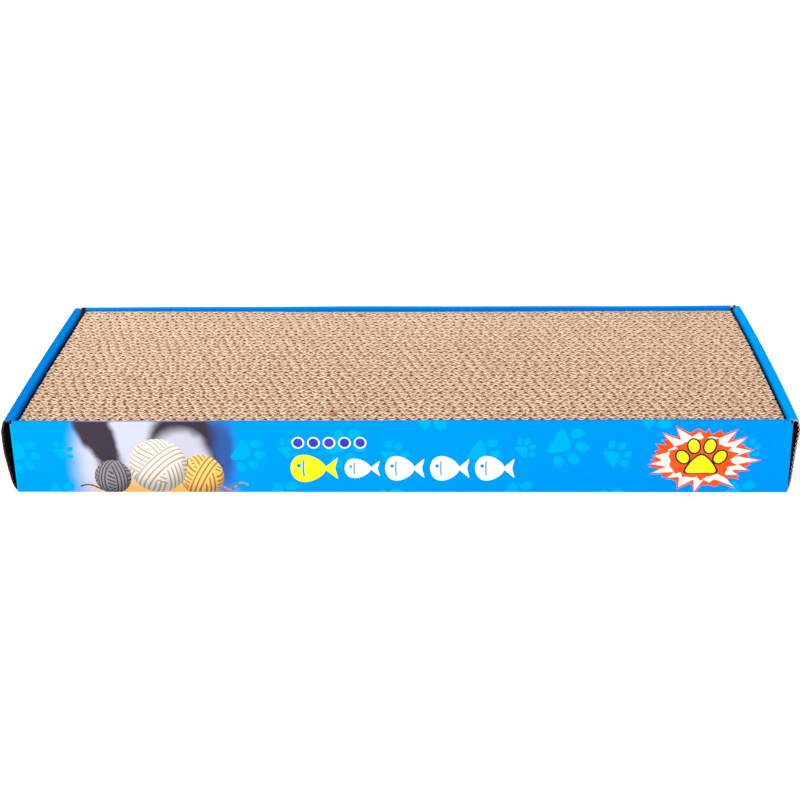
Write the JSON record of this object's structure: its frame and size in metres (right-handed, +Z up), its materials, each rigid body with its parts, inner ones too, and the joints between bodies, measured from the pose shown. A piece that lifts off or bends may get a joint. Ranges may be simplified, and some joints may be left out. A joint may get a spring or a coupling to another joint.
{
  "type": "cat scratcher",
  "caption": "Flat cat scratcher: stacked corrugated cardboard pads that lift out of a low folded carton tray with rolled rims and hollow ends.",
  "frame": {"origin": "middle of the underside, on the surface that the tray stands on", "axes": "+X along the tray's length to the right seen from the front, +Y from the front wall to the back wall, +Z up out of the open top"},
  "size_m": [0.512, 0.22, 0.05],
  "materials": {
    "printed_carton": "blue printed carton with a soft gloss",
    "raw_carton": "unprinted brown kraft, matt",
    "corrugated_board": "cut edges of pale brown double-wall corrugated board, matt"
  },
  "bodies": {
    "tray": {"base_panel": "raw_carton", "front_outer_wall": "printed_carton", "front_top_fold": "printed_carton", "front_inner_wall": "printed_carton", "back_outer_wall": "printed_carton", "back_top_fold": "printed_carton", "back_inner_wall": "printed_carton", "left_end_outer_panel": "printed_carton", "left_end_rim": "printed_carton", "left_end_inner_panel": "printed_carton", "right_end_outer_panel": "printed_carton", "right_end_rim": "printed_carton", "right_end_inner_panel": "printed_carton", "front_left_corner_flap": "raw_carton", "front_right_corner_flap": "raw_carton", "back_left_corner_flap": "raw_carton", "back_right_corner_flap": "raw_carton"},
    "lower_pad": {"lower_pad_strip_01": "corrugated_board", "lower_pad_strip_02": "corrugated_board", "lower_pad_strip_03": "corrugated_board", "lower_pad_strip_04": "corrugated_board", "lower_pad_strip_05": "corrugated_board", "lower_pad_strip_06": "corrugated_board", "lower_pad_strip_07": "corrugated_board", "lower_pad_strip_08": "corrugated_board", "lower_pad_strip_09": "corrugated_board", "lower_pad_strip_10": "corrugated_board", "lower_pad_strip_11": "corrugated_board", "lower_pad_strip_12": "corrugated_board", "lower_pad_strip_13": "corrugated_board", "lower_pad_strip_14": "corrugated_board", "lower_pad_strip_15": "corrugated_board", "lower_pad_strip_16": "corrugated_board", "lower_pad_strip_17": "corrugated_board"},
    "upper_pad": {"upper_pad_strip_01": "corrugated_board", "upper_pad_strip_02": "corrugated_board", "upper_pad_strip_03": "corrugated_board", "upper_pad_strip_04": "corrugated_board", "upper_pad_strip_05": "corrugated_board", "upper_pad_strip_06": "corrugated_board", "upper_pad_strip_07": "corrugated_board", "upper_pad_strip_08": "corrugated_board", "upper_pad_strip_09": "corrugated_board", "upper_pad_strip_10": "corrugated_board", "upper_pad_strip_11": "corrugated_board", "upper_pad_strip_12": "corrugated_board", "upper_pad_strip_13": "corrugated_board", "upper_pad_strip_14": "corrugated_board", "upper_pad_strip_15": "corrugated_board", "upper_pad_strip_16": "corrugated_board", "upper_pad_strip_17": "corrugated_board"}
  },
  "joints": [
    {"name": "lower_pad_lift", "type": "slide", "parent": "tray", "child": "lower_pad", "axis": [0, 0, 1], "range_m": [0, 0.06]},
    {"name": "upper_pad_lift", "type": "slide", "parent": "lower_pad", "child": "upper_pad", "axis": [0, 0, 1], "range_m": [0, 0.06]}
  ]
}
